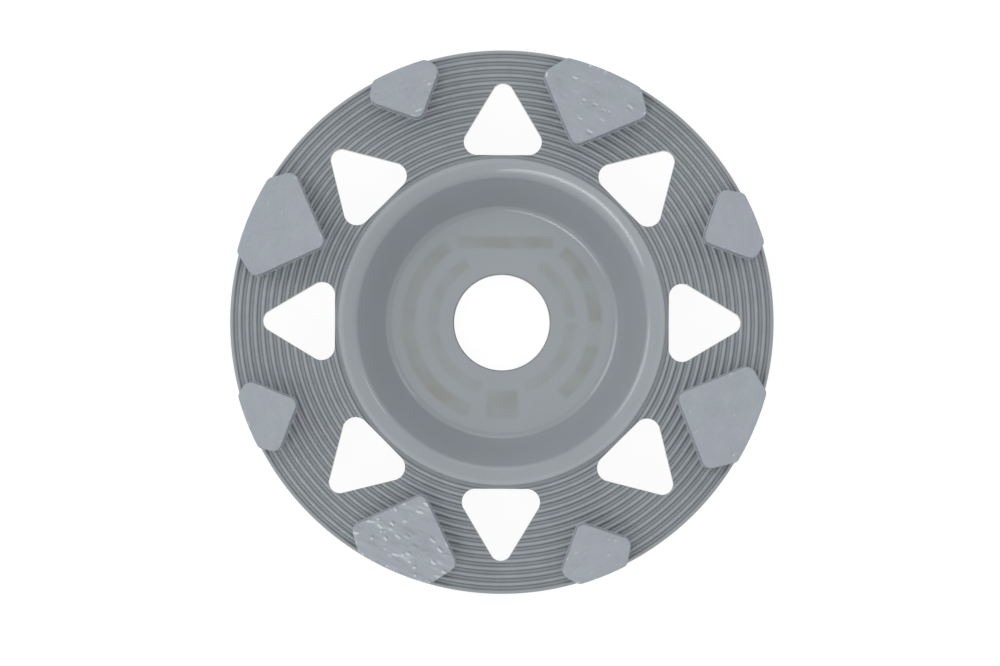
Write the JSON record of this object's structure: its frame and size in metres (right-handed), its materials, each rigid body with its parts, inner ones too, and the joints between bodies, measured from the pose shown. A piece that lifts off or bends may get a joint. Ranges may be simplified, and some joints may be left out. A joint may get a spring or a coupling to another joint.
{
  "type": "diamond cup wheel",
  "caption": "Steel cup wheel for surface grinding, with a recessed hub, a grooved flange with triangular windows, and brazed arrowhead diamond segments.",
  "frame": {"origin": "centre of the arbor bore at the hub's back face, the lowest point of the wheel", "axes": "+Z along the arbor bore, out of the cup towards the segments; +X through the middle of one window"},
  "size_m": [0.125, 0.125, 0.0225],
  "materials": {
    "body_steel": "satin silver-grey lacquer over turned steel",
    "diamond_bond": "matt silver-grey lacquer over a gritty sintered metal bond"
  },
  "bodies": {
    "root": {"wheel_body": "body_steel", "segment_large_1": "diamond_bond", "segment_large_2": "diamond_bond", "segment_large_3": "diamond_bond", "segment_large_4": "diamond_bond", "segment_small_1": "diamond_bond", "segment_small_2": "diamond_bond", "segment_small_3": "diamond_bond", "segment_small_4": "diamond_bond"}
  },
  "joints": []
}
